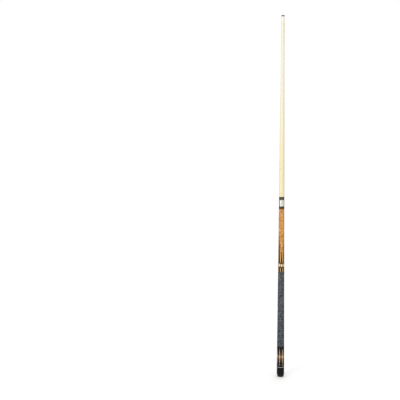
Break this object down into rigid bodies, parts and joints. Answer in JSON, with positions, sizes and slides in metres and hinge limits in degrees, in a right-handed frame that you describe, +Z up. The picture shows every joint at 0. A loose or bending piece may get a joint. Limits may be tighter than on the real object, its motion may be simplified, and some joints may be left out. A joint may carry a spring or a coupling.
{
  "type": "pool cue",
  "caption": "Two-piece pool cue: tapered maple shaft with leather tip and white ferrule, screwed by a steel pin joint to an inlaid butt with linen wrap, black sleeve and rubber bumper.",
  "frame": {"origin": "centre of the rubber bumper's flat underside", "axes": "+Z up the cue's axis, from the bumper to the leather tip; -Y faces the viewer, with a short point of the forearm centred on it"},
  "size_m": [0.0308, 0.0308, 1.473],
  "materials": {
    "rubber_black": "matt moulded rubber",
    "cap_black": "turned black resin, satin gloss",
    "ring_metal": "fine turned, bright",
    "sleeve_black": "black under clear lacquer",
    "panel_brown": "gold-brown figured veneer under clear lacquer",
    "inlay_cream": "cream inlay under clear lacquer",
    "handle_wood": "plain turned maple, hidden under the wrap",
    "linen": "dark grey linen thread with pale flecks, pressed",
    "plain_steel": "turned and threaded steel",
    "dark_wood": "very dark brown wood under clear lacquer",
    "bar_tan": "light tan wood under clear lacquer",
    "amber_maple": "amber-stained figured maple under clear lacquer",
    "veneer_cream": "light veneer under clear lacquer",
    "collar_black": "turned black resin, polished",
    "joint_steel": "polished stainless steel",
    "brass": "turned brass",
    "pale_maple": "pale straight-grained maple, sanded and sealed",
    "ferrule_white": "white turned resin, satin",
    "fibre_pad": "pressed fibre",
    "tip_leather": "pressed leather with chalk in the grain"
  },
  "bodies": {
    "butt": {"butt_cap": "cap_black", "butt_ring": "ring_metal", "butt_sleeve": "sleeve_black", "sleeve_panels": "panel_brown", "sleeve_spears": "inlay_cream", "sleeve_dots": "inlay_cream", "handle": "handle_wood", "linen_wrap": "linen", "weight_bolt": "plain_steel", "a_joint_stud": "plain_steel", "window_ring": "dark_wood", "window_bars": "bar_tan", "oval_ring": "dark_wood", "oval_inlays": "inlay_cream", "forearm": "amber_maple", "long_points": "dark_wood", "long_veneers": "veneer_cream", "short_points": "dark_wood", "short_veneers": "veneer_cream", "tip_diamonds": "inlay_cream", "forearm_ring": "dark_wood", "forearm_collar": "collar_black", "joint_sleeve": "joint_steel", "joint_pin": "plain_steel"},
    "shaft_collar": {"shaft_collar": "collar_black"},
    "shaft": {"shaft_insert": "brass", "shaft": "pale_maple", "ferrule": "ferrule_white", "tip_pad": "fibre_pad", "tip": "tip_leather"},
    "bumper": {"bumper": "rubber_black"}
  },
  "joints": [
    {"name": "shaft_rise", "type": "slide", "parent": "butt", "child": "shaft_collar", "axis": [0, 0, 1], "range_m": [0, 0.0381]},
    {"name": "shaft_turn", "type": "hinge", "parent": "shaft_collar", "child": "shaft", "pos_m": [0, 0, 0.7365], "axis": [0, 0, 1], "range_deg": [0, 9720]},
    {"name": "bumper_pull", "type": "slide", "parent": "butt", "child": "bumper", "axis": [0, 0, -1], "range_m": [0, 0.03]}
  ],
  "couplings": [
    {"joint": "shaft_turn", "follows": "shaft_rise", "rad_per_m": 4452.6}
  ]
}
